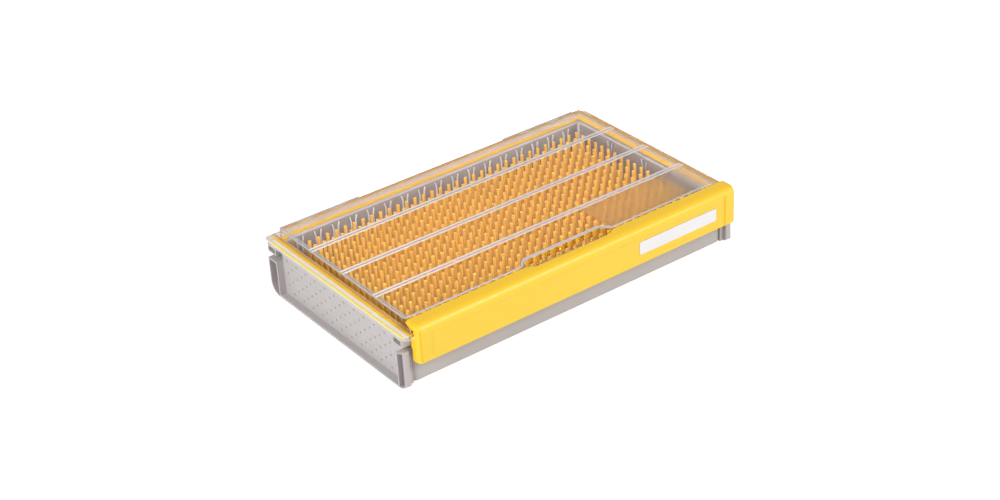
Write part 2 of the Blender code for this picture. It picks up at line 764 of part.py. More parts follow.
def lid_ribs():
    """Three pairs of low ribs across the plateau's top."""
    builder = bmesh.new()
    for row in range(1, LID_RIB_ROWS + 1):
        middle = LID_BACK - LID_RIB_SHIFT - row * LID_RIB_PITCH
        for lean in (-1, 1):
            centre = middle + lean * LID_RIB_GAP / 2
            outline = [
                (centre - LID_RIB_WIDTH / 2, LID_TOP - BITE),
                (centre + LID_RIB_WIDTH / 2, LID_TOP - BITE),
                (centre + LID_RIB_WIDTH / 4, LID_TOP + LID_RIB_HEIGHT),
                (centre - LID_RIB_WIDTH / 4, LID_TOP + LID_RIB_HEIGHT),
            ]
            reach = LID_HALF_X - LID_WALL
            add_prism(builder, outline, 0, -reach, reach)
    return builder


def lid_knuckles():
    """Round knuckles on the back of the plateau, between the tray's."""
    builder = bmesh.new()
    root = LID_BACK - LID_WALL / 2
    outline = arc((HINGE_Y, HINGE_HEIGHT), BARREL_RADIUS, 90, -150, BARREL_STEPS)
    outline += [
        (root, outline[-1][1]),
        (root, HINGE_HEIGHT + BARREL_RADIUS),
    ]
    for start, end in knuckle_spans()[1]:
        add_prism(builder, outline, 0, start, end)
    return builder


def cap_inner(side, latch_end):
    return latch_end - side * LATCH_CAP_WALL


def ear_outer(side, latch_end):
    return cap_inner(side, latch_end) - side * RUNNING_GAP


def latch_ears():
    """The lugs on the flange that carry the latch's pins."""
    builder = bmesh.new()
    outline = arc((PIVOT_Y, PIVOT_HEIGHT), EAR_RADIUS, 0, 180, BARREL_STEPS)
    outline += [
        (PIVOT_Y - EAR_RADIUS, FLANGE_BOTTOM + BITE),
        (PIVOT_Y + EAR_RADIUS, FLANGE_BOTTOM + BITE),
    ]
    for side, latch_end in LATCH_ENDS:
        outer = ear_outer(side, latch_end)
        add_prism(builder, outline, 0, outer - side * EAR_WIDTH, outer)
    return builder


def latch_bores():
    """Bores for the latch's pins, through ear and end cap."""
    builder = bmesh.new()
    for side, latch_end in LATCH_ENDS:
        start = ear_outer(side, latch_end) - side * (EAR_WIDTH + RUNNING_GAP)
        end = latch_end + side * RUNNING_GAP
        add_rod(builder, (PIVOT_Y, PIVOT_HEIGHT), LATCH_PIN_RADIUS + FIT, start, end)
    return builder


def make_latch_pins(material, pivot):
    for name, (side, latch_end) in zip(("latch_pin_left", "latch_pin_right"), LATCH_ENDS):
        builder = bmesh.new()
        start = ear_outer(side, latch_end) - side * EAR_WIDTH
        add_rod(builder, (PIVOT_Y, PIVOT_HEIGHT), LATCH_PIN_RADIUS, start, latch_end)
        make_object(name, builder, material, pivot, HINGE_AXIS)


def latch_outside(front_shrink, top_shrink):
    """The latch's outer side from its rear edge over the rounded front to its foot."""
    centre = (-LATCH_FRONT + LATCH_ROUND, LATCH_TOP - LATCH_ROUND)
    outline = [(-LATCH_REAR, LATCH_TOP - top_shrink)]
    for along, up in arc((0.0, 0.0), 1.0, 90, 180, ROUND_STEPS):
        front = centre[0] + along * (LATCH_ROUND - front_shrink)
        outline.append((front, centre[1] + up * (LATCH_ROUND - top_shrink)))
    return outline + [(-LATCH_FRONT + front_shrink, LATCH_BOTTOM)]


def latch_channel():
    """The bent wall of the latch, with the lip along its foot."""
    builder = bmesh.new()
    lip_rear = -TRAY_HALF_Y - LATCH_RAIL - FIT
    inside = latch_outside(LATCH_WALL, LATCH_WALL)[::-1]
    foot = (inside[0][0], LATCH_BOTTOM + LATCH_WALL)
    lip = [(lip_rear, LATCH_BOTTOM), (lip_rear, LATCH_BOTTOM + LATCH_WALL), foot]
    outline = latch_outside(0.0, 0.0) + lip + inside[1:]
    start, end = [cap_inner(side, latch_end) + side * BITE for side, latch_end in LATCH_ENDS]
    add_prism(builder, outline, 0, start, end)
    return builder


def latch_caps():
    """The end caps, each a loft whose outer edge rounds over towards the end."""
    builder = bmesh.new()
    post_rear = -max(LATCH_CAP_REAR, POST_FRONT + RUNNING_GAP)
    post_top = POST_HEIGHT + RUNNING_GAP
    rear = [
        (post_rear, LATCH_BOTTOM),
        (post_rear, post_top),
        (-LATCH_CAP_REAR, post_top + RUNNING_GAP),
        (-LATCH_CAP_REAR, PIVOT_HEIGHT + LATCH_PIN_RADIUS),
        (-LATCH_REAR, LATCH_TOP - LATCH_WALL),
    ]
    for side, latch_end in LATCH_ENDS:
        sections = [(cap_inner(side, latch_end), 0.0)]
        for step in range(CORNER_STEPS + 1):
            turn = math.radians(90 * step / CORNER_STEPS)
            along = latch_end - side * LATCH_END_ROUND * (1 - math.sin(turn))
            sections.append((along, 1 - math.cos(turn)))
        rows = []
        for along, share in sections:
            outside = latch_outside(share * LATCH_END_ROUND, share * LATCH_END_CROWN)
            rows.append([builder.verts.new((along, y, z)) for y, z in outside + rear])
        bridge(builder, rows)
    return builder


def make_latch(material, pivot):
    """The yellow rocker latch: a bent channel with two end caps and a lip under the tray's rail."""
    latch = make_object("latch", latch_channel(), material, pivot, LATCH_AXIS)
    combine(latch, make_tool("end_cap_tool", latch_caps()), "UNION")
    combine(latch, make_tool("latch_notch_tool", latch_notch()), "DIFFERENCE")
    combine(latch, make_tool("latch_bore_tool", latch_bores()), "DIFFERENCE")
    combine(latch, make_tool("panel_tool", front_panel()), "DIFFERENCE")
    combine(latch, make_tool("label_recess_tool", label_recess()), "DIFFERENCE")
    return latch


def latch_notch():
    """The finger notch in the latch's rear edge, facing the lid's."""
    builder = bmesh.new()
    half_outer = NOTCH_WIDTH / 2
    half_inner = half_outer - NOTCH_SLOPE
    edge = -LATCH_REAR
    outline = [
        (-half_inner, edge - LATCH_NOTCH_DEPTH),
        (half_inner, edge - LATCH_NOTCH_DEPTH),
        (half_outer, edge),
        (half_outer, edge + LATCH_WALL),
        (-half_outer, edge + LATCH_WALL),
        (-half_outer, edge),
    ]
    add_prism(builder, outline, 2, LATCH_TOP - 2 * LATCH_WALL, LATCH_TOP + LATCH_WALL)
    return builder


def plate_outline(centre, length, height, radius):
    """A rounded rectangle on the latch's front, as X and Z."""
    outline = []
    for side_x, side_z, start in ((1, -1, -90), (1, 1, 0), (-1, 1, 90), (-1, -1, 180)):
        corner = (
            centre[0] + side_x * (length / 2 - radius),
            centre[1] + side_z * (height / 2 - radius),
        )
        outline += arc(corner, radius, start, start + 90, CORNER_STEPS)
    return outline


def front_panel():
    """The wide shallow panel sunk in the latch's front."""
    builder = bmesh.new()
    centre = ((LATCH_LEFT + LATCH_RIGHT) / 2, LATCH_BOTTOM + PANEL_MARGIN_BOTTOM + PANEL_HEIGHT / 2)
    length = LATCH_LENGTH - 2 * PANEL_MARGIN_ENDS
    outline = plate_outline(centre, length, PANEL_HEIGHT, PANEL_ROUND)
    add_prism(builder, outline, 1, -LATCH_FRONT - LATCH_WALL, PANEL_FACE)
    return builder


def label_recess():
    """The recess in the panel that holds the label."""
    builder = bmesh.new()
    depth = LABEL_THICKNESS - LABEL_PROUD + FIT
    outline = plate_outline(
        (LABEL_CENTRE, LABEL_MIDDLE_HEIGHT), LABEL_LENGTH + 2 * FIT, LABEL_HEIGHT + 2 * FIT, LABEL_ROUND
    )
    add_prism(builder, outline, 1, -LATCH_FRONT - LATCH_WALL, PANEL_FACE + depth)
    return builder


def make_label(material, pivot):
    builder = bmesh.new()
    face = PANEL_FACE - LABEL_PROUD
    outline = plate_outline((LABEL_CENTRE, LABEL_MIDDLE_HEIGHT), LABEL_LENGTH, LABEL_HEIGHT, LABEL_ROUND)
    add_prism(builder, outline, 1, face, face + LABEL_THICKNESS)
    make_object("label_plate", builder, material, pivot, LATCH_AXIS)


def main():
    clear_scene()
    grey = make_material("tray_grey", (0.52, 0.47, 0.46), 0.45)
    orange = make_material("peg_orange", (0.90, 0.42, 0.05), 0.45)
    yellow = make_material("latch_yellow", (0.98, 0.58, 0.03), 0.35)
    seal_yellow = make_material("seal_yellow", (0.93, 0.54, 0.04), 0.60)
    clear = make_material("lid_clear", (0.95, 0.95, 0.95), 0.05, transmission=0.9)
    white = make_material("label_white", (0.90, 0.88, 0.90), 0.50)
    steel = make_material("pin_steel", (0.55, 0.55, 0.56), 0.30, metallic=1.0)

    lid_pivot = make_pivot("lid_hinge_axis", HINGE_AXIS)
    latch_pivot = make_pivot("latch_pivot_axis", LATCH_AXIS - HINGE_AXIS, lid_pivot)
    make_tray(grey)
    make_peg_mat(orange)
    make_rim_seal(seal_yellow)
    make_hinge_pins(steel)
    make_lid(clear, lid_pivot)
    make_latch_pins(steel, lid_pivot)
    make_latch(yellow, latch_pivot)
    make_label(white, latch_pivot)


main()
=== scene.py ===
# Dresses a flat fishing tackle box: grey tray, peg mat, rim seal, clear lid and yellow latch.
# Metres, +Z up, front towards -Y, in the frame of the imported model.

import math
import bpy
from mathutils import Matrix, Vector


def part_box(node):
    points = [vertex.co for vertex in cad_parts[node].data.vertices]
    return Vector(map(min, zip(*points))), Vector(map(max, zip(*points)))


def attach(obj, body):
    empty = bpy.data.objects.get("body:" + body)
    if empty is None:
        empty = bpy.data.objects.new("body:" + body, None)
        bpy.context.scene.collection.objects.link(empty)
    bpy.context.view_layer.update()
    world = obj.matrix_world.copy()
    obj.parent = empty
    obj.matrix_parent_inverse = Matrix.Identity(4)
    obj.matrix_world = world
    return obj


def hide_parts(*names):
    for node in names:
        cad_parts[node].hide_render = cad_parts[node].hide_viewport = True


bl_info = {
    "name": "Peg mat tackle box",
    "version": (1, 0, 0),
    "blender": (4, 5, 0),
    "location": "View3D > Sidebar > Tackle box",
    "description": "Dresses a flat tackle box with a peg mat, a clear lid and a yellow latch",
    "category": "Object",
}

import bpy
from bpy.props import FloatProperty, FloatVectorProperty, IntProperty, PointerProperty
from bpy.types import Operator, Panel, PropertyGroup
from mathutils import Matrix, Vector

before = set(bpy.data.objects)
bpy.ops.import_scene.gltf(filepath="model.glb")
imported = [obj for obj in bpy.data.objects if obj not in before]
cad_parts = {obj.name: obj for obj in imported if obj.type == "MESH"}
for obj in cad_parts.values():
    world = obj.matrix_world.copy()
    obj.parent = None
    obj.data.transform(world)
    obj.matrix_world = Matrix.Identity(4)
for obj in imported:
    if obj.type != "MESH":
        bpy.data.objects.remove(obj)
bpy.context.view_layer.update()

# Distances and angles that clean up a copy of a node
MERGE_DISTANCE = 1e-6
BEVEL_ANGLE = math.radians(28.0)
SMOOTH_ANGLE = math.radians(40.0)

# Inside of the tray and hollows of its posts, where shade is painted, and the divider guides, where
# highlights are painted: half sizes from the middle, spans along Y and heights
INNER_HALF = (0.1777, 0.1037)
GUIDE_REACH = 0.0021
GUIDE_FOOT = 0.0003
GUIDE_HEIGHTS = (0.0055, 0.0475)
FRONT_HOLLOW = (-0.1093, -0.1042)
BACK_HOLLOW = (0.0929, 0.1051)
HOLLOW_DEPTH = (0.1815, 0.1931)
HOLLOW_HEIGHTS = (0.0014, 0.0364)

# End panels of the tray: their place
PANEL_FACE = 0.1867
PANEL_SPAN = (-0.1010, 0.0898)
PANEL_HEIGHTS = (0.0025, 0.0475)

# End panels of the tray: shares of a line's relief or of a pitch
LINE_CHAMFER = 0.6
MARK_CHAMFER = 0.3
MARK_START = 0.2
MARK_STAGGER = 0.5
MARK_LIFT = 0.6

# Peg mat, and the seal's lip where shade is painted
MAT_THICKNESS = 0.0020
FACING_UP = 0.9
SEAL_LIP_HALF = (0.1785, 0.1040)
SEAL_LIP_TOP = 0.0522

# Plateau of the lid with its frosted panel
LID_TOP = 0.0635
LID_UNDERSIDE = 0.0613
LID_FRONT = -0.0991
FROST_BAND = 0.0003
FROST_FRONT = -0.0981
FROST_BACK = -0.0530
FROST_END = 0.1778

# Upright share of the normals on the lid's rounded edges, where highlights are painted, and the light that
# the lid lets through
EDGE_LEAN = (0.45, 0.97)
SHADOW_TINT = (0.95, 0.95, 0.95, 1.0)

# Ribs of the lid: the back one's place, the two painted highlight lines of each rib and how they fade to
# the right
RIB_COUNT = 3
RIB_START = 0.0504
RIB_PITCH = 0.0516
RIB_LINE = 0.00235
RIB_REACH = 0.0009
RIB_FADE_START = -0.19
RIB_FADE_SLOPE = 5.0

# Finger notch of the lid, with a highlight painted on its rim
NOTCH_HALF = 0.0522
NOTCH_DEPTH = 0.0080
NOTCH_LEAN = 0.89
NOTCH_RIM = 0.0017

# Walls of the lid: across or along, then the heights where their painted colours start: painted light,
# painted shade and the painted seal
LEFT_WALL = (0.1762, 0.1779)
RIGHT_WALL = (0.1760, 0.1788)
BACK_WALL = (0.1025, 0.1053)
AMBER_EDGE = (0.1770, 0.1788)
PALE_FOOT_RIGHT = 0.0572
PALE_FOOT_BACK = 0.0551
GREY_STRIP = (0.0560, 0.0578)
AMBER_FOOT_RIGHT = 0.0615
AMBER_FOOT_BACK = 0.0605

# Flange of the lid: heights, then bands counted from the middle for a painted shadow line at the foot and a
# painted highlight on the rim, then where its back tip starts
FLANGE_FACE = (0.0549, 0.0556)
GLOW_HEIGHTS = (0.0536, 0.0556)
FOOT_SHADOW_BAND = (0.1804, 0.1834)
RIM_BAND = (0.1866, 0.1899)
FLANGE_TIP = 0.1020

# Latch: grooves beside its end caps, where shade is painted, and where a deeper yellow starts on its top as
# painted shade
CAP_GROOVES = ((-0.1788, -0.1770), (0.1718, 0.1744))
GROOVE_REAR = -0.115
GROOVE_HEIGHTS = (0.027, 0.058)
CROWN_START = -0.1185
CROWN_SLOPE = 300.0

# Moulded plastic
GRAIN_SCALE = 1400.0
GRAIN_STRENGTH = 0.35
SHEEN_SCALE = 160.0
SHEEN_RANGE = 0.16
PLASTIC_BEND = 1.48
PLASTIC_SHINE = 0.35

# Stage: lamps are given as name, place, width and watts
FLOOR_DROP = -0.0002
SENSOR_WIDTH = 36.0
LAMPS = (
    ("key_lamp", (-2.0, -0.35, 1.05), 1.2, 30.0),
    ("fill_lamp", (0.9, -1.6, 1.3), 0.9, 23.0),
)


def length(name, description, default):
    return FloatProperty(name=name, description=description, default=default, min=0.0, unit="LENGTH")


def share(name, description, default):
    return FloatProperty(name=name, description=description, default=default, min=0.0, max=1.0)


def colour(name, description, default):
    return FloatVectorProperty(
        name=name, description=description, default=default, subtype="COLOR", size=3, min=0.0, max=1.0
    )


def turn(name, description, degrees):
    return FloatProperty(
        name=name, description=description, default=math.radians(degrees), subtype="ANGLE", unit="ROTATION"
    )


class TrayLooks(PropertyGroup):
    """Sizes and colours of the tray and its end panels."""

    grey: colour("Tray grey", "Colour of the moulded tray", (0.555, 0.52, 0.515))
    # Painted light: a highlight on the divider guides' thin edges, shade deep in the corner posts' hollows,
    # and shade on the tray's inner walls
    light: colour("Guide light", "Colour of the divider guides' thin edges", (0.64, 0.61, 0.62))
    dark: colour("Pocket dark", "Colour deep in the corner posts", (0.50, 0.44, 0.45))
    inside: colour("Inside", "Colour of the tray's inner walls", (0.295, 0.258, 0.25))
    edge: length("Edge round", "Round on the tray's edges", 0.0003)
    rib_pitch: length("Line pitch", "Height from one moulded line of an end panel to the next", 0.00325)
    rib_height: length("Line height", "Height of one moulded line", 0.0007)
    rib_proud: length("Line relief", "How far a moulded line stands out", 0.0002)
    panel_margin: length("Panel margin", "Plain border of an end panel", 0.0050)
    mark_pitch: length("Mark pitch", "Distance between two marks in one row", 0.0160)
    mark_rise: length("Mark rise", "Height from one row of marks to the next", 0.0065)
    mark_width: length("Mark width", "Width of one mark", 0.0010)
    mark_height: length("Mark height", "Height of one mark", 0.0021)
    # Painted shade: the small marks are dark to stand for shaded holes
    mark_shade: colour("Mark grey", "Colour of the small sunk marks", (0.22, 0.20, 0.21))


class PegLooks(PropertyGroup):
    """Sizes and colour of the peg mat."""

    orange: colour("Peg orange", "Colour of the pegs and their mat", (0.85, 0.45, 0.042))
    pitch: length("Peg pitch", "Distance between two pegs", 0.010)
    radius: length("Peg radius", "Radius of a peg at its foot", 0.0017)
    tip_round: length("Tip round", "Round on a peg's tip", 0.0003)
    tip_drop: length("Tip drop", "How far a peg ends under the node's top", 0.0008)
    taper: share("Taper", "Width of a peg's tip as a share of its foot", 0.96)
    columns: IntProperty(name="Columns", description="Pegs along the length", default=33, min=1)
    rows: IntProperty(name="Rows", description="Pegs across the depth", default=18, min=1)
    sides: IntProperty(name="Sides", description="Faces round a peg", default=10, min=6)


class SealLooks(PropertyGroup):
    """Colours and round of the rim seal."""

    yellow: colour("Seal yellow", "Colour of the rim seal", (0.80, 0.47, 0.02))
    # Painted shade on the yellow seal's inner lip
    grey: colour("Lip grey", "Colour of the seal's shaded inner lip", (0.33, 0.29, 0.28))
    edge: length("Bead round", "Round on the seal's shoulders", 0.0005)


class LidLooks(PropertyGroup):
    """Finish of the clear lid, and the colours and strengths of the veils laid over it: painted highlights,
    painted shade and the seal painted where the clear walls would show it.
    """

    tint: colour("Lid tint", "Colour that the clear lid gives what lies behind it", (0.99, 0.985, 0.98))
    edge: length("Edge round", "Round on the lid's edges", 0.00025)
    gloss: share("Roughness", "Roughness of the polished lid", 0.02)
    bend: FloatProperty(name="Bend", description="How strongly the lid bends light", default=1.25, min=1.0)
    frost: share("Frost", "Roughness of the frosted panel", 0.50)
    frost_start: length("Frost start", "Where the frosted panel starts right of the middle", 0.052)
    # Painted highlights: on the lid's edges, on the flange's rim and the ribs' left ends, and on the ribs'
    # right ends and the notch's rim
    painted_light: colour("Haze", "Colour of the edges that catch the light", (0.56, 0.54, 0.55))
    white: colour("White", "Colour of the flange's rim and of the ribs' left ends", (0.92, 0.89, 0.89))
    silver_highlight: colour("Silver", "Colour of the ribs' right ends and the notch's rim", (0.70, 0.68, 0.70))
    # Painted shade on the left wall's top and a strip at the back, and painted light on the back and right
    # walls over the seal
    grey: colour("Wall grey", "Colour of the left wall's top and a strip at the back", (0.52, 0.50, 0.52))
    pale_wall_light: colour("Pale", "Colour of the back and right walls over the seal", (0.57, 0.46, 0.32))
    # The seal painted into the walls, flange and skirt, as the clear plastic would show it
    amber: colour("Amber", "Colour of the seal seen high on the back and right walls", (0.65, 0.33, 0.06))
    gold: colour("Gold", "Colour of the seal seen low in the walls and the flange", (0.96, 0.56, 0.012))
    glow: colour("Glow", "Colour of the seal seen in the skirt", (1.0, 0.77, 0.11))
    # Painted shadow line at the plateau's foot
    foot: colour("Foot", "Colour of the line at the plateau's foot", (0.46, 0.26, 0.11))
    edge_veil: share("Edge veil", "How much the edges and the flange's foot hide", 0.75)
    rib_veil: share("Rib veil", "How much the lines of the ribs and the notch's rim hide", 0.85)
    wall_veil: share("Wall veil", "How much the colours of the walls hide", 0.90)
    gap_veil: share("Gap veil", "How much the ribs' gaps, the right rim and the hinge side hide", 0.45)
    rim_veil: share("Rim veil", "How much the flange's rim hides", 0.80)
    seal_veil: share("Seal veil", "How strongly the seal shows in the walls, flange and skirt", 0.80)


class LatchLooks(PropertyGroup):
    """Colours of the latch, its label and the pins."""

    yellow: colour("Latch yellow", "Colour of the latch", (1.0, 0.67, 0.060))
    # Painted shade: the top is deeper than the front, and the grooves beside the end caps are darker
    crown_shade: colour("Crown", "Colour of the latch's top", (1.0, 0.615, 0.024))
    groove_shade: colour("Groove", "Colour of the grooves beside the end caps", (0.96, 0.54, 0.008))
    edge: length("Edge round", "Round on the latch's edges", 0.0003)
    white: colour("Label white", "Colour of the blank label", (0.90, 0.88, 0.90))
    steel: colour("Pin steel", "Colour of the hinge pins", (0.55, 0.55, 0.56))
    # Painted shade: the latch pins are near black to stand for the shaded holes at their ends
    pin_hole_shade: colour("Dull steel", "Colour of the latch pins", (0.12, 0.09, 0.05))


class StageLooks(PropertyGroup):
    """Floor, light and camera."""

    floor: colour("Floor", "Colour of the floor", (0.93, 0.93, 0.93))
    floor_glow: share("Floor glow", "How far the floor is lifted towards white", 0.50)
    floor_reach: length("Floor reach", "Half the width of the floor", 6.0)
    sky: FloatProperty(name="Sky", description="Light from all round", default=0.43, min=0.0)
    camera_place: FloatVectorProperty(
        name="Camera place",
        description="Where the camera stands",
        default=(-0.925081, -1.291344, 0.963869),
        subtype="XYZ",
        unit="LENGTH",
        size=3,
    )
    camera_turn: turn("Camera turn", "Turn of the camera round the box", -35.50)
    camera_rise: turn("Camera rise", "Height of the camera over the horizon", 30.85)
    camera_roll: turn("Camera roll", "Lean of the camera", -3.31)
    camera_lens: FloatProperty(
        name="Lens", description="Focal length of the camera in millimetres", default=70.14, min=1.0
    )


class TackleBoxLooks(PropertyGroup):
    """All the sizes and colours."""

    tray: PointerProperty(type=TrayLooks)
    pegs: PointerProperty(type=PegLooks)
    seal: PointerProperty(type=SealLooks)
    lid: PointerProperty(type=LidLooks)
    latch: PointerProperty(type=LatchLooks)
    stage: PointerProperty(type=StageLooks)


# Shader maths


class Value:
    """A number on a shader's socket; the usual operators add Math nodes to its tree."""

    def __init__(self, bench, socket):
        self.bench = bench
        self.socket = socket

    def __add__(self, other):
        return self.bench.maths("ADD", self, other)

    def __radd__(self, other):
        return self.bench.maths("ADD", other, self)

    def __sub__(self, other):
        return self.bench.maths("SUBTRACT", self, other)

    def __rsub__(self, other):
        return self.bench.maths("SUBTRACT", other, self)

    def __mul__(self, other):
        return self.bench.maths("MULTIPLY", self, other)

    def __rmul__(self, other):
        return self.bench.maths("MULTIPLY", other, self)

    def __gt__(self, other):
        return self.bench.maths("GREATER_THAN", self, other)

    def __lt__(self, other):
        return self.bench.maths("LESS_THAN", self, other)


class Bench:
    """A node tree that is filled by plain calls."""

    def __init__(self, tree):
        self.tree = tree
        tree.nodes.clear()

    def node(self, kind, settings=None, sockets=None, output=0):
        made = self.tree.nodes.new(kind)
        for key, value in (settings or {}).items():
            setattr(made, key, value)
        for key, value in (sockets or {}).items():
            if isinstance(value, Value):
                self.tree.links.new(value.socket, made.inputs[key])
            else:
                made.inputs[key].default_value = value
        return Value(self, made.outputs[output]) if len(made.outputs) else made

    def maths(self, operation, first, second):
        return self.node("ShaderNodeMath", {"operation": operation}, {0: first, 1: second})

    def place(self):
        return self.node("ShaderNodeTexCoord", output="Object")

    def axes(self):
        place = self.place()
        return [self.node("ShaderNodeSeparateXYZ", None, {0: place}, axis) for axis in range(3)]

    def noise(self, scale, detail=2.0, roughness=0.5, stretch=(1.0, 1.0, 1.0)):
        place = self.node("ShaderNodeMapping", None, {"Vector": self.place(), "Scale": stretch})
        sockets = {"Vector": place, "Scale": scale, "Detail": detail, "Roughness": roughness}
        return self.node("ShaderNodeTexNoise", None, sockets)

    def band(self, value, low, high):
        """One between two limits, and nought outside them."""
        return (value > low) * (value < high)

    def size_of(self, value):
        return self.maths("ABSOLUTE", value, 0.0)

    def spread(self, value, low, reach):
        """A number that lies above a low limit by a share of its reach."""
        return value * reach + low

    def blend(self, factor, first, second):
        """Two colours mixed, each given as three numbers or as the result of another mix."""
        first, second = [shade if isinstance(shade, Value) else (*shade, 1.0) for shade in (first, second)]
        return self.node("ShaderNodeMix", {"data_type": "RGBA"}, {0: factor, 6: first, 7: second}, 2)

    def bump(self, height, strength, distance):
        sockets = {"Height": height, "Strength": strength, "Distance": distance}
        return self.node("ShaderNodeBump", None, sockets)

    def show(self, shader, target="ShaderNodeOutputMaterial"):
        self.node(target, None, {"Surface": shader})


def new_finish(name):
    material = bpy.data.materials.new(name)
    material.use_nodes = True
    return material, Bench(material.node_tree)


def darker(shade, factor):
    return tuple(channel * factor for channel in shade)


def moulded(name, shade, roughness, grain_depth, cloud_scale, cloud_dark, tones=None, looks=None):
    """Moulded plastic: a faint cloud, an uneven sheen, a fine grain and places of other tones, which are
    painted light and shade.
    """
    material, bench = new_finish(name)
    cloud = bench.noise(cloud_scale, detail=3.0, roughness=0.55)
    base = bench.blend(cloud, darker(shade, cloud_dark), shade)
    for place, tone in tones(bench, looks) if tones else ():
        base = bench.blend(place, base, tone)
    grain = bench.noise(GRAIN_SCALE, roughness=0.6)
    sheen = bench.noise(SHEEN_SCALE)
    shader = bench.node("ShaderNodeBsdfPrincipled", None, {
        "Base Color": base,
        "Roughness": bench.spread(sheen, low=roughness - SHEEN_RANGE / 2, reach=SHEEN_RANGE),
        "Normal": bench.bump(grain, GRAIN_STRENGTH, grain_depth),
        "IOR": PLASTIC_BEND,
        "Specular IOR Level": PLASTIC_SHINE,
    })
    bench.show(shader)
    return material


def hole_shade(name, shade):
    """Painted shade: a dark finish for the small marks in the end panels, standing in for shaded holes."""
    material, bench = new_finish(name)
    cloud = bench.noise(scale=300.0)
    shader = bench.node("ShaderNodeBsdfPrincipled", None, {
        "Base Color": bench.blend(cloud, darker(shade, factor=0.7), shade),
        "Roughness": bench.spread(cloud, low=0.6, reach=0.2),
    })
    bench.show(shader)
    return material


def tray_light_and_shade(bench, looks):
    """Painted shade on the inner walls, painted highlights on the edges of the divider guides and painted
    shade deep in the hollows of the corner posts.
    """
    across, along, up = bench.axes()
    end = bench.size_of(across)
    side = bench.size_of(along)
    inside = (end < INNER_HALF[0] + GUIDE_FOOT) * (side < INNER_HALF[1] + GUIDE_FOOT)
    inside = inside * bench.band(up, *GUIDE_HEIGHTS)
    guides = bench.maths("MAXIMUM", side > INNER_HALF[1] - GUIDE_REACH, end > INNER_HALF[0] - GUIDE_REACH)
    guides = guides * (end < INNER_HALF[0] - GUIDE_FOOT) * (side < INNER_HALF[1] - GUIDE_FOOT)
    hollows = bench.maths("MAXIMUM", bench.band(along, *FRONT_HOLLOW), bench.band(along, *BACK_HOLLOW))
    hollows = hollows * bench.band(end, *HOLLOW_DEPTH) * bench.band(up, *HOLLOW_HEIGHTS)
    return (inside, looks.inside), (inside * guides, looks.light), (hollows, looks.dark)


def seal_lip_shade(bench, looks):
    """Painted shade on the low part of the seal's inner face at both ends."""
    across, along, up = bench.axes()
    ends = (bench.size_of(across) < SEAL_LIP_HALF[0]) * (bench.size_of(along) < SEAL_LIP_HALF[1])
    return ((ends * (up < SEAL_LIP_TOP), looks.grey),)


def latch_shade(bench, looks):
    """Painted shade on the latch: a deeper yellow on its top than on its front, and darker grooves between
    its front and its end caps.
    """
    across, along, up = bench.axes()
    grooves = bench.maths("MAXIMUM", *[bench.band(across, *span) for span in CAP_GROOVES])
    grooves = grooves * (along < GROOVE_REAR) * bench.band(up, *GROOVE_HEIGHTS)
    crown_shade = (along - CROWN_START) * CROWN_SLOPE
    return (crown_shade, looks.crown_shade), (grooves, looks.groove_shade)


def clear_plastic(name, looks, frost_low, frost_high):
    """Clear plastic with one frosted panel and painted light over it: highlights on its edges and ribs,
    shade and the seal behind; lamps shine through.
    """
    material, bench = new_finish(name)
    axes = bench.axes()
    frosted = 1.0
    for axis, low, high in zip(axes, frost_low, frost_high):
        frosted = frosted * bench.band(axis, low, high)
    smear = bench.noise(scale=30.0, detail=3.0, roughness=0.6)
    polished = bench.spread(smear, low=looks.gloss, reach=0.015)
    glass = bench.node("ShaderNodeBsdfPrincipled", None, {
        "Base Color": (*looks.tint, 1.0),
        "Roughness": polished * (1 - frosted) + frosted * looks.frost,
        "Transmission Weight": 1.0,
        "IOR": looks.bend,
        "Specular IOR Level": 0.2,
    })
    veil = 0.0
    shade = looks.painted_light
    for place, strength, tone in lid_painted_light(bench, looks, *axes):
        veil = veil * (1 - place) + place * strength
        shade = bench.blend(place, shade, tone)
    painted_light = bench.node("ShaderNodeBsdfPrincipled", None, {
        "Base Color": shade,
        "Roughness": bench.spread(smear, low=0.2, reach=0.2),
    })
    body = bench.node("ShaderNodeMixShader", None, {0: veil, 1: glass, 2: painted_light})
    through = bench.node("ShaderNodeBsdfTransparent", None, {"Color": SHADOW_TINT})
    shadow = bench.node("ShaderNodeLightPath", output="Is Shadow Ray")
    bench.show(bench.node("ShaderNodeMixShader", None, {0: shadow, 1: body, 2: through}))
    return material


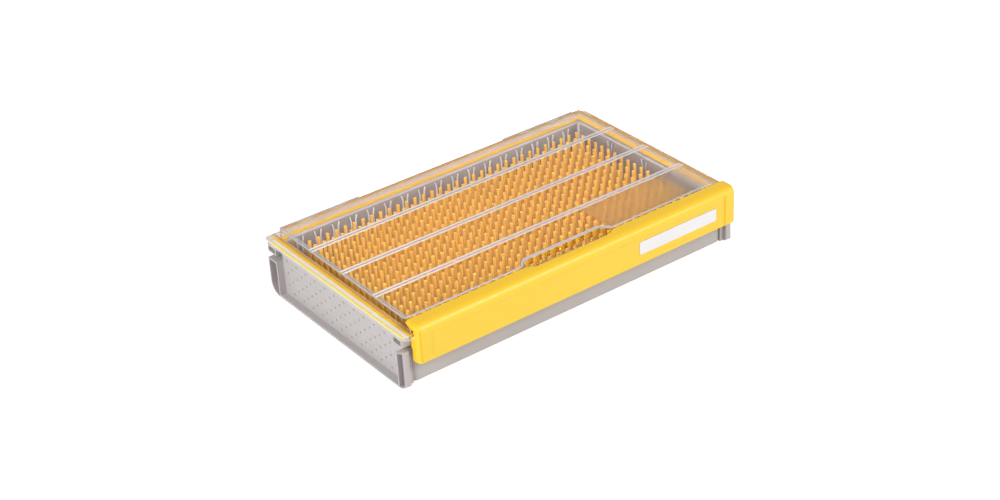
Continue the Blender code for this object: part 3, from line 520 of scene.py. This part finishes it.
def lid_painted_light(bench, looks, across, along, up):
    """Where the lid shows painted light, painted shade or the painted seal, how much and in which colour;
    each lies over the last.
    """
    left = across * -1.0
    end = bench.size_of(across)
    lean = bench.node("ShaderNodeTexCoord", output="Normal")
    lean = bench.size_of(bench.node("ShaderNodeSeparateXYZ", None, {0: lean}, 2))
    top = up > LID_TOP - FROST_BAND
    right = bench.band(across, *RIGHT_WALL)
    right_edge = bench.band(across, *AMBER_EDGE)
    back = bench.band(along, *BACK_WALL)
    off = bench.maths("PINGPONG", along - RIB_START, RIB_PITCH / 2)
    ribs = bench.band(along, RIB_START - (RIB_COUNT - 0.5) * RIB_PITCH, RIB_START + RIB_PITCH / 2) * top
    lines = ribs * bench.band(off, RIB_LINE - RIB_REACH, RIB_LINE + RIB_REACH)
    fading = bench.blend((across - RIB_FADE_START) * RIB_FADE_SLOPE, looks.white, looks.silver_highlight)
    reach = bench.maths("MINIMUM", (NOTCH_HALF - end) * NOTCH_LEAN, NOTCH_DEPTH)
    notch = bench.band(along - LID_FRONT - reach, 0.0, NOTCH_RIM) * top * (end < NOTCH_HALF)
    low = up < FLANGE_FACE[1]
    flange = bench.band(up, *FLANGE_FACE)
    rim = low * (left > RIM_BAND[0])
    return (
        # Painted highlights on the edges, and a grey veil over the hinge side behind the back wall
        (bench.band(lean, *EDGE_LEAN), looks.edge_veil, looks.painted_light),
        (along > BACK_WALL[1], looks.gap_veil, looks.painted_light),
        # Walls and the right rim: the seal painted into the back and right walls and the rim, painted light
        # above it, and painted shade on the left wall's top and a strip at the back
        (top * bench.band(left, *LEFT_WALL), looks.wall_veil, looks.grey),
        (bench.maths("MAXIMUM", right, back), looks.seal_veil, looks.gold),
        (right * (up > PALE_FOOT_RIGHT), looks.wall_veil, looks.pale_wall_light),
        (back * (up > PALE_FOOT_BACK), looks.wall_veil, looks.pale_wall_light),
        (back * bench.band(up, *GREY_STRIP), looks.wall_veil, looks.grey),
        (right_edge * (up > AMBER_FOOT_RIGHT), looks.wall_veil, looks.amber),
        (back * (up > AMBER_FOOT_BACK), looks.wall_veil, looks.amber),
        (low * (across > RIM_BAND[0]), looks.gap_veil, looks.amber),
        # Ribs and notch: painted highlights on the ribs and the notch's rim
        (ribs * (off < RIB_LINE), looks.gap_veil, looks.silver_highlight),
        (lines, looks.rib_veil, fading),
        (notch, looks.rib_veil, looks.silver_highlight),
        # Left flange, from the plateau's foot outwards: a painted shadow line, the painted seal, painted
        # highlights on the rim and the seal painted into the skirt
        (flange * bench.band(left, *FOOT_SHADOW_BAND), looks.edge_veil, looks.foot),
        (flange * bench.band(left, FOOT_SHADOW_BAND[1], RIM_BAND[0]), looks.seal_veil, looks.gold),
        (rim, looks.edge_veil, looks.painted_light),
        (flange * bench.band(left, *RIM_BAND), looks.rim_veil, looks.white),
        (bench.band(up, *GLOW_HEIGHTS) * (left > RIM_BAND[1]), looks.seal_veil, looks.glow),
        (rim * (along > FLANGE_TIP), looks.rim_veil, looks.silver_highlight),
    )


def drawn_steel(name, shade):
    """Steel wire with fine lines along its length."""
    material, bench = new_finish(name)
    lines = bench.noise(scale=700.0, detail=3.0, roughness=0.6, stretch=(0.02, 1.0, 1.0))
    shader = bench.node("ShaderNodeBsdfPrincipled", None, {
        "Base Color": bench.blend(lines, darker(shade, factor=0.8), shade),
        "Metallic": 1.0,
        "Roughness": bench.spread(lines, low=0.22, reach=0.2),
        "Normal": bench.bump(lines, strength=0.2, distance=0.00005),
    })
    bench.show(shader)
    return material


def label_stock(name, shade):
    """Matt white label stock with a faint fibre."""
    material, bench = new_finish(name)
    fibre = bench.noise(scale=900.0, detail=3.0, roughness=0.65, stretch=(0.4, 1.0, 1.0))
    cloud = bench.noise(scale=40.0)
    shader = bench.node("ShaderNodeBsdfPrincipled", None, {
        "Base Color": bench.blend(cloud, darker(shade, factor=0.95), shade),
        "Roughness": bench.spread(fibre, low=0.42, reach=0.15),
        "Normal": bench.bump(fibre, strength=0.15, distance=0.00004),
    })
    bench.show(shader)
    return material


# Modelling helpers


def pick(*pieces):
    """Leave only these pieces selected, with the first one active."""
    if bpy.context.object and bpy.context.object.mode != "OBJECT":
        bpy.ops.object.mode_set(mode="OBJECT")
    bpy.ops.object.select_all(action="DESELECT")
    for piece in pieces:
        piece.select_set(True)
    bpy.context.view_layer.objects.active = pieces[0]


def shape(piece, *steps):
    """Run edit mode operators on all of a piece, each given as its name and its settings."""
    pick(piece)
    bpy.ops.object.mode_set(mode="EDIT")
    bpy.ops.mesh.select_all(action="SELECT")
    for name, settings in steps:
        getattr(bpy.ops.mesh, name)(**settings)
    bpy.ops.object.mode_set(mode="OBJECT")


def modify(piece, kind, **settings):
    """Add a modifier with these settings and apply it."""
    pick(piece)
    modifier = piece.modifiers.new(kind.lower(), kind)
    for key, value in settings.items():
        setattr(modifier, key, value)
    bpy.ops.object.modifier_apply(modifier=modifier.name)


def node_copy(node, name):
    """A merged copy of a node's mesh."""
    piece = bpy.data.objects.new(name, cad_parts[node].data.copy())
    bpy.context.scene.collection.objects.link(piece)
    piece.data.name = name
    piece.data.materials.clear()
    pick(piece)
    bpy.ops.mesh.customdata_custom_splitnormals_clear()
    shape(piece, ("remove_doubles", {"threshold": MERGE_DISTANCE}))
    return piece


def round_edges(piece, width, segments=2):
    """Round a piece's sharp edges, and shade it smooth with its flat faces kept flat."""
    modify(
        piece,
        "BEVEL",
        limit_method="ANGLE",
        angle_limit=BEVEL_ANGLE,
        width=width,
        segments=segments,
        use_clamp_overlap=False,
        miter_outer="MITER_ARC",
    )
    soften(piece)


def soften(piece):
    pick(piece)
    bpy.ops.object.shade_smooth_by_angle(angle=SMOOTH_ANGLE)
    modify(piece, "WEIGHTED_NORMAL", keep_sharp=True)


def settle(piece):
    """Put a piece's place, turn and scale into its mesh."""
    pick(piece)
    bpy.ops.object.transform_apply(location=True, rotation=True, scale=True)


def name_piece(piece, name):
    piece.name = name
    piece.data.name = name


def new_bar(name, low, high):
    """A plain bar between two corners, to be shaped further."""
    middle = (Vector(low) + Vector(high)) / 2
    bpy.ops.object.select_all(action="DESELECT")
    bpy.ops.mesh.primitive_cube_add(size=1.0, location=middle)
    bar = bpy.context.object
    name_piece(bar, name)
    bar.scale = Vector(high) - Vector(low)
    settle(bar)
    return bar


def repeat(piece, count, step):
    """Repeat a piece in a straight row."""
    modify(
        piece,
        "ARRAY",
        count=count,
        use_relative_offset=False,
        use_constant_offset=True,
        constant_offset_displace=step,
    )


def hand_over(piece, body, slot, finish, *nodes):
    """Give a finished piece its material and the body that it moves with, and hide the nodes that it stands
    for.
    """
    piece.data.materials.append(finish)
    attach(piece, body)
    if nodes:
        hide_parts(*nodes)


def repaint(node, finish):
    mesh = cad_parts[node].data
    mesh.materials.clear()
    mesh.materials.append(finish)


# Operators


class MakeTray(Operator):
    """Make the grey tray with rounded edges"""

    bl_idname = "tackle_box.make_tray"
    bl_label = "Tray"

    def execute(self, context):
        looks = context.scene.tackle_box.tray
        tray = node_copy("base_tray", "tray_shell")
        round_edges(tray, looks.edge)
        finish = moulded(
            "tray_grey_plastic",
            looks.grey,
            roughness=0.45,
            grain_depth=0.00004,
            cloud_scale=45.0,
            cloud_dark=0.90,
            tones=tray_light_and_shade,
            looks=looks,
        )
        hand_over(tray, "base", "tray_grey", finish, "base_tray")
        return {"FINISHED"}


class MakeEndPanels(Operator):
    """Make the moulded lines and marks on both end panels"""

    bl_idname = "tackle_box.make_end_panels"
    bl_label = "End panels"

    def execute(self, context):
        looks = context.scene.tackle_box.tray
        grey = bpy.data.materials["tray_grey_plastic"]
        # The marks get a dark finish as painted shade for small holes
        dark = hole_shade("mark_grey_plastic", looks.mark_shade)
        front, back = PANEL_SPAN[0] + looks.panel_margin, PANEL_SPAN[1] - looks.panel_margin
        bottom, top = PANEL_HEIGHTS[0] + looks.panel_margin / 2, PANEL_HEIGHTS[1] - looks.panel_margin
        rows = int((top - bottom) / looks.rib_pitch) + 1
        for name, side in (("left", -1), ("right", 1)):
            ends = sorted((side * (PANEL_FACE - looks.rib_proud), side * (PANEL_FACE + looks.rib_proud)))
            lines = new_bar(
                name + "_end_lines", (ends[0], front, bottom), (ends[1], back, bottom + looks.rib_height)
            )
            shape(lines, ("bevel", {"offset": looks.rib_proud * LINE_CHAMFER, "segments": 1}))
            repeat(lines, rows, (0.0, 0.0, looks.rib_pitch))
            soften(lines)
            hand_over(lines, "base", "tray_grey", grey)
            marks = self.marks(looks, name, ends, front, back, bottom, top)
            hand_over(marks, "base", "tray_grey", dark)
        return {"FINISHED"}

    def marks(self, looks, name, ends, front, back, bottom, top):
        """Two staggered fields of small marks, joined."""
        fields = []
        relief = looks.rib_proud * MARK_CHAMFER
        for shift in (0, 1):
            start = front + looks.mark_pitch * (MARK_START + MARK_STAGGER * shift)
            low = bottom + looks.rib_pitch * MARK_LIFT + (1 - shift) * looks.mark_rise
            field = new_bar(
                name + "_end_marks",
                (ends[0], start, low),
                (ends[1], start + looks.mark_width, low + looks.mark_height),
            )
            shape(field, ("bevel", {"offset": relief, "segments": 1}))
            repeat(field, int((back - start) / looks.mark_pitch) + 1, (0.0, looks.mark_pitch, 0.0))
            repeat(field, int((top - low) / looks.mark_rise / 2) + 1, (0.0, 0.0, 2 * looks.mark_rise))
            fields.append(field)
        pick(*fields)
        bpy.ops.object.join()
        return fields[0]


class MakePegs(Operator):
    """Make the mat with its field of round pegs"""

    bl_idname = "tackle_box.make_pegs"
    bl_label = "Peg mat"

    def execute(self, context):
        looks = context.scene.tackle_box.pegs
        low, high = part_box("peg_mat")
        mat_top = low.z + MAT_THICKNESS
        first_x = -(looks.columns - 1) / 2 * looks.pitch
        first_y = -(looks.rows - 1) / 2 * looks.pitch
        foot = mat_top - MAT_THICKNESS / 4
        tip = high.z - looks.tip_drop
        bpy.ops.object.select_all(action="DESELECT")
        bpy.ops.mesh.primitive_cylinder_add(
            vertices=looks.sides,
            radius=looks.radius,
            depth=tip - foot,
            location=(first_x, first_y, (tip + foot) / 2),
        )
        pegs = bpy.context.object
        name_piece(pegs, "peg_field")
        settle(pegs)
        self.taper(pegs, looks, (first_x, first_y, tip))
        soften(pegs)
        repeat(pegs, looks.columns, (looks.pitch, 0.0, 0.0))
        repeat(pegs, looks.rows, (0.0, looks.pitch, 0.0))
        plate = new_bar("peg_plate", low, (high.x, high.y, mat_top))
        round_edges(plate, MAT_THICKNESS / 5)
        pick(pegs, plate)
        bpy.ops.object.join()
        finish = moulded(
            "peg_orange_plastic",
            looks.orange,
            roughness=0.42,
            grain_depth=0.00003,
            cloud_scale=60.0,
            cloud_dark=0.88,
        )
        hand_over(pegs, "base", "peg_orange", finish, "peg_mat")
        return {"FINISHED"}

    def taper(self, pegs, looks, tip):
        """Narrow the tip of the first peg and round its edge."""
        for polygon in pegs.data.polygons:
            polygon.select = polygon.normal.z > FACING_UP
        bpy.ops.object.mode_set(mode="EDIT")
        bpy.ops.mesh.select_mode(type="FACE")
        bpy.ops.transform.resize(value=(looks.taper, looks.taper, 1.0), center_override=tip)
        bpy.ops.mesh.region_to_loop()
        bpy.ops.mesh.bevel(offset=looks.tip_round, segments=2)
        bpy.ops.object.mode_set(mode="OBJECT")


class MakeSeal(Operator):
    """Make the yellow seal bead on the rim"""

    bl_idname = "tackle_box.make_seal"
    bl_label = "Rim seal"

    def execute(self, context):
        looks = context.scene.tackle_box.seal
        seal = node_copy("rim_seal", "seal_bead")
        round_edges(seal, looks.edge)
        finish = moulded(
            "seal_yellow_rubber",
            looks.yellow,
            roughness=0.58,
            grain_depth=0.00005,
            cloud_scale=70.0,
            cloud_dark=0.92,
            tones=seal_lip_shade,
            looks=looks,
        )
        hand_over(seal, "base", "seal_yellow", finish, "rim_seal")
        return {"FINISHED"}


class MakeLid(Operator):
    """Make the clear lid with its frosted panel"""

    bl_idname = "tackle_box.make_lid"
    bl_label = "Lid"

    def execute(self, context):
        looks = context.scene.tackle_box.lid
        lid = node_copy("lid", "lid_shell")
        round_edges(lid, looks.edge)
        frost_low = (looks.frost_start, FROST_FRONT, LID_UNDERSIDE - FROST_BAND)
        frost_high = (FROST_END, FROST_BACK, LID_UNDERSIDE + FROST_BAND)
        finish = clear_plastic("lid_clear_plastic", looks, frost_low, frost_high)
        hand_over(lid, "lid", "lid_clear", finish, "lid")
        return {"FINISHED"}


class MakeLatch(Operator):
    """Make the yellow latch with rounded edges"""

    bl_idname = "tackle_box.make_latch"
    bl_label = "Latch"

    def execute(self, context):
        looks = context.scene.tackle_box.latch
        latch = node_copy("latch", "latch_shell")
        round_edges(latch, looks.edge)
        finish = moulded(
            "latch_yellow_plastic",
            looks.yellow,
            roughness=0.34,
            grain_depth=0.00003,
            cloud_scale=25.0,
            cloud_dark=0.95,
            tones=latch_shade,
            looks=looks,
        )
        hand_over(latch, "latch", "latch_yellow", finish, "latch")
        return {"FINISHED"}


class PaintFittings(Operator):
    """Give the label and the pins their finish"""

    bl_idname = "tackle_box.paint_fittings"
    bl_label = "Label and pins"

    def execute(self, context):
        looks = context.scene.tackle_box.latch
        repaint("label_plate", label_stock("label_white_stock", looks.white))
        # The hinge pins get plain steel, and the latch pins are near black as painted shade for holes
        for hinge, shade in (("hinge", looks.steel), ("latch", looks.pin_hole_shade)):
            steel = drawn_steel(hinge + "_pin_steel", shade)
            for side in ("left", "right"):
                repaint(hinge + "_pin_" + side, steel)
        return {"FINISHED"}


class SetStage(Operator):
    """Set the floor, the light and the camera"""

    bl_idname = "tackle_box.set_stage"
    bl_label = "Stage"

    def execute(self, context):
        looks = context.scene.tackle_box.stage
        self.floor(looks)
        self.sky(context.scene, looks)
        for name, place, width, watts in LAMPS:
            self.lamp(name, place, width, watts)
        self.camera(context.scene, looks)
        context.scene.view_settings.view_transform = "Standard"
        return {"FINISHED"}

    def floor(self, looks):
        bpy.ops.object.select_all(action="DESELECT")
        bpy.ops.mesh.primitive_plane_add(size=2 * looks.floor_reach, location=(0.0, 0.0, FLOOR_DROP))
        floor = bpy.context.object
        floor.name = "floor"
        material, bench = new_finish("floor_paint")
        paint = bench.node("ShaderNodeBsdfDiffuse", None, {"Color": (*looks.floor, 1.0)})
        seen = self.seen(bench)
        glow = bench.node("ShaderNodeEmission", None, {"Strength": seen * looks.floor_glow})
        bench.show(bench.node("ShaderNodeAddShader", None, {0: paint, 1: glow}))
        floor.data.materials.append(material)

    def sky(self, scene, looks):
        """White to the eye, in gloss and through glass; softer as light on the box."""
        scene.world = bpy.data.worlds.new("studio")
        scene.world.use_nodes = True
        bench = Bench(scene.world.node_tree)
        strength = self.seen(bench) * (1 - looks.sky) + looks.sky
        background = bench.node("ShaderNodeBackground", None, {"Strength": strength})
        bench.show(background, "ShaderNodeOutputWorld")

    def seen(self, bench):
        """One for rays that the eye, a gloss or clear plastic sends out, and nought for the rest."""
        rays = ("Is Camera Ray", "Is Glossy Ray", "Is Transmission Ray")
        first, second, third = [bench.node("ShaderNodeLightPath", output=ray) for ray in rays]
        return bench.maths("MAXIMUM", bench.maths("MAXIMUM", first, second), third)

    def lamp(self, name, place, width, watts):
        data = bpy.data.lights.new(name, "AREA")
        data.shape = "DISK"
        data.size = width
        data.energy = watts
        lamp = bpy.data.objects.new(name, data)
        bpy.context.scene.collection.objects.link(lamp)
        lamp.location = place
        lamp.rotation_euler = (-Vector(place)).to_track_quat("-Z", "Y").to_euler()

    def camera(self, scene, looks):
        data = bpy.data.cameras.new("photo_camera")
        data.sensor_fit = "HORIZONTAL"
        data.sensor_width = SENSOR_WIDTH
        data.lens = looks.camera_lens
        camera = bpy.data.objects.new("photo_camera", data)
        scene.collection.objects.link(camera)
        flat = math.cos(looks.camera_rise)
        back = Vector((
            math.sin(looks.camera_turn) * flat,
            -math.cos(looks.camera_turn) * flat,
            math.sin(looks.camera_rise),
        ))
        right = Vector((0.0, 0.0, 1.0)).cross(back).normalized()
        up = back.cross(right)
        rolled_right = math.cos(looks.camera_roll) * right + math.sin(looks.camera_roll) * up
        rolled_up = math.cos(looks.camera_roll) * up - math.sin(looks.camera_roll) * right
        turned = Matrix((rolled_right, rolled_up, back)).transposed()
        camera.matrix_world = Matrix.Translation(looks.camera_place) @ turned.to_4x4()
        scene.camera = camera


class TackleBoxPanel(Panel):
    """The box's pieces in the order that they are made"""

    bl_idname = "VIEW3D_PT_tackle_box"
    bl_label = "Tackle box"
    bl_space_type = "VIEW_3D"
    bl_region_type = "UI"
    bl_category = "Tackle box"

    def draw(self, context):
        looks = context.scene.tackle_box
        groups = (looks.tray, looks.pegs, looks.seal, looks.lid, looks.latch, looks.stage)
        for step in STEPS:
            self.layout.operator(step.bl_idname)
        for group in groups:
            box = self.layout.box()
            for key in group.__annotations__:
                box.prop(group, key)


STEPS = (
    MakeTray,
    MakeEndPanels,
    MakePegs,
    MakeSeal,
    MakeLid,
    MakeLatch,
    PaintFittings,
    SetStage,
)
GROUPS = (TrayLooks, PegLooks, SealLooks, LidLooks, LatchLooks, StageLooks, TackleBoxLooks)
CLASSES = GROUPS + STEPS + (TackleBoxPanel,)


def register():
    for kind in CLASSES:
        bpy.utils.register_class(kind)
    bpy.types.Scene.tackle_box = PointerProperty(type=TackleBoxLooks)


def unregister():
    del bpy.types.Scene.tackle_box
    for kind in reversed(CLASSES):
        bpy.utils.unregister_class(kind)


def main():
    register()
    for step in STEPS:
        group, name = step.bl_idname.split(".")
        getattr(getattr(bpy.ops, group), name)()


if __name__ == "__main__":
    main()
